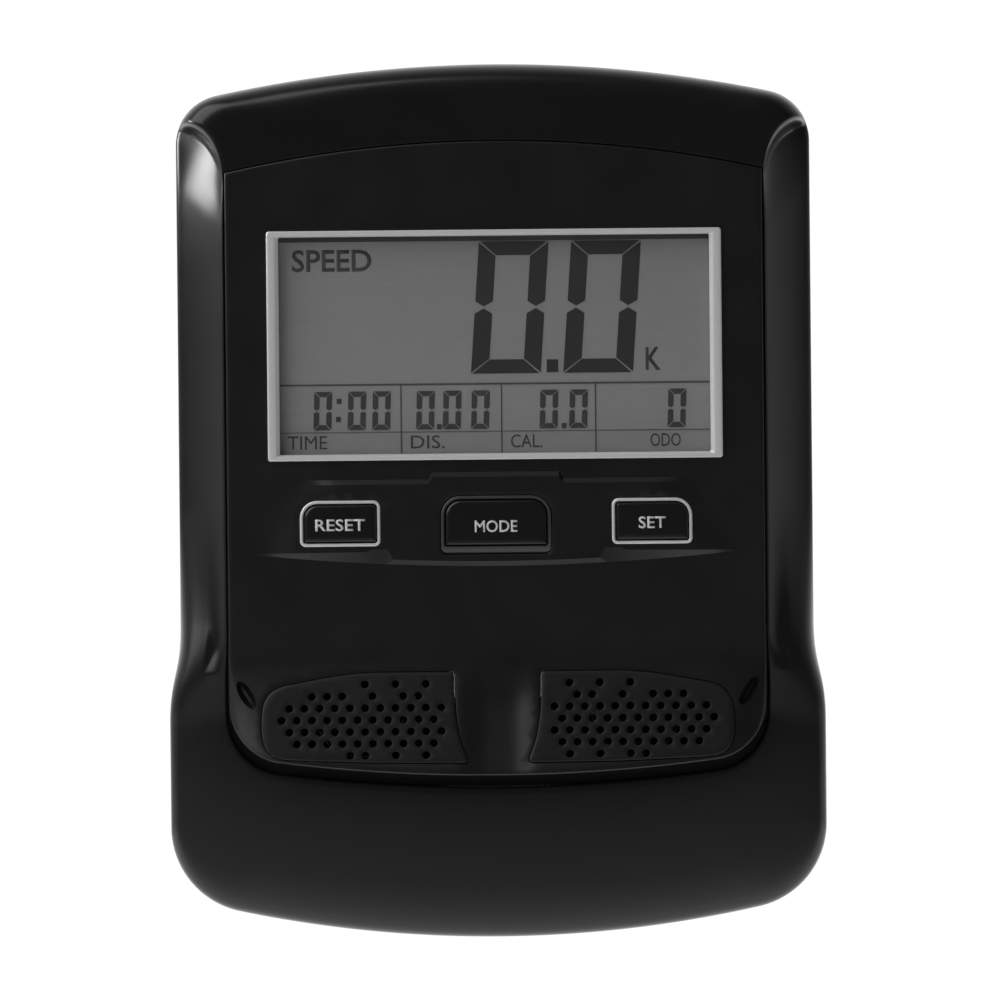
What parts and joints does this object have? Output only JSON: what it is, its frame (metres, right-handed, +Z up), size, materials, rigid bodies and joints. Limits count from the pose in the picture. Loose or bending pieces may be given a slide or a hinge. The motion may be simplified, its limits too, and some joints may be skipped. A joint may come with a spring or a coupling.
{
  "type": "exercise machine console",
  "caption": "Display console of an exercise machine: arched housing, segment display, push keys, sound grilles, hinged battery door and a rear pad that bolts to a mast.",
  "frame": {"origin": "centre of the rear mounting pad's flat face", "axes": "+Z up along the face, the face looks along -Y, +X to the user's right, +Y out of the back"},
  "size_m": [0.1602, 0.0537, 0.2132],
  "materials": {
    "shell_plastic": "moulded ABS, satin gloss",
    "fascia_plastic": "moulded ABS, smooth satin",
    "silver_trim": "vacuum-metallised silver plastic",
    "clear_lens": "clear acrylic",
    "lcd_glass": "reflective liquid-crystal display with dark segments",
    "white_nylon": "natural nylon",
    "black_rubber": "matt",
    "circuit_board": "solder-masked laminate",
    "black_resin": "moulded resin",
    "key_plastic": "smooth gloss",
    "grille_plastic": "fine-textured satin",
    "plated_steel": "zinc or nickel plated",
    "ferrite": "sintered, matt",
    "cone_paper": "pressed paper",
    "wire_sleeve": "PVC insulation",
    "cell_sleeve": null,
    "brass": "turned and knurled"
  },
  "bodies": {
    "case": {"front_housing": "shell_plastic", "rear_housing": "shell_plastic", "fascia_panel": "fascia_plastic", "mode_ring": "fascia_plastic", "lcd_bezel": "silver_trim", "reset_ring": "silver_trim", "set_ring": "silver_trim", "lcd_lens": "clear_lens", "lcd_glass": "lcd_glass", "lcd_holder": "white_nylon", "zebra_strip_upper": "black_rubber", "zebra_strip_lower": "black_rubber", "speaker_gasket_left": "black_rubber", "speaker_gasket_right": "black_rubber", "main_board": "circuit_board", "processor": "black_resin", "reset_switch": "black_resin", "mode_switch": "black_resin", "set_switch": "black_resin", "sensor_jack": "black_resin", "pulse_jack": "black_resin", "audio_jack": "black_resin", "grille_left": "grille_plastic", "grille_right": "grille_plastic", "speaker_basket_left": "plated_steel", "speaker_basket_right": "plated_steel", "battery_spring_1": "plated_steel", "battery_spring_2": "plated_steel", "battery_contact_1": "plated_steel", "battery_contact_2": "plated_steel", "case_screw_1": "plated_steel", "case_screw_2": "plated_steel", "case_screw_3": "plated_steel", "case_screw_4": "plated_steel", "case_screw_5": "plated_steel", "case_screw_6": "plated_steel", "board_screw_1": "plated_steel", "board_screw_2": "plated_steel", "board_screw_3": "plated_steel", "board_screw_4": "plated_steel", "speaker_magnet_left": "ferrite", "speaker_magnet_right": "ferrite", "speaker_lead_left": "wire_sleeve", "speaker_lead_right": "wire_sleeve", "battery_lead": "wire_sleeve", "battery_1": "cell_sleeve", "battery_2": "cell_sleeve", "mount_insert_1": "brass", "mount_insert_2": "brass", "mount_insert_3": "brass", "mount_insert_4": "brass"},
    "reset_key": {"reset_button": "key_plastic", "reset_plunger": "white_nylon"},
    "mode_key": {"mode_button": "key_plastic", "mode_plunger": "white_nylon"},
    "set_key": {"set_button": "key_plastic", "set_plunger": "white_nylon"},
    "door": {"battery_door": "shell_plastic"},
    "cone_left": {"speaker_cone_left": "cone_paper"},
    "cone_right": {"speaker_cone_right": "cone_paper"}
  },
  "joints": [
    {"name": "reset_press", "type": "slide", "parent": "case", "child": "reset_key", "axis": [0, 1, 0], "range_m": [0, 0.0006], "stiffness_N_per_m": 2500},
    {"name": "mode_press", "type": "slide", "parent": "case", "child": "mode_key", "axis": [0, 1, 0], "range_m": [0, 0.0006], "stiffness_N_per_m": 2500},
    {"name": "set_press", "type": "slide", "parent": "case", "child": "set_key", "axis": [0, 1, 0], "range_m": [0, 0.0006], "stiffness_N_per_m": 2500},
    {"name": "door_swing", "type": "hinge", "parent": "case", "child": "door", "pos_m": [0, -0.0043, 0.0745], "axis": [1, 0, 0], "range_deg": [0, 70]},
    {"name": "cone_left_stroke", "type": "slide", "parent": "case", "child": "cone_left", "axis": [0, -0.9724, 0.2334], "range_m": [-0.0004, 0.0004], "stiffness_N_per_m": 2000},
    {"name": "cone_right_stroke", "type": "slide", "parent": "case", "child": "cone_right", "axis": [0, -0.9724, 0.2334], "range_m": [-0.0004, 0.0004], "stiffness_N_per_m": 2000}
  ]
}
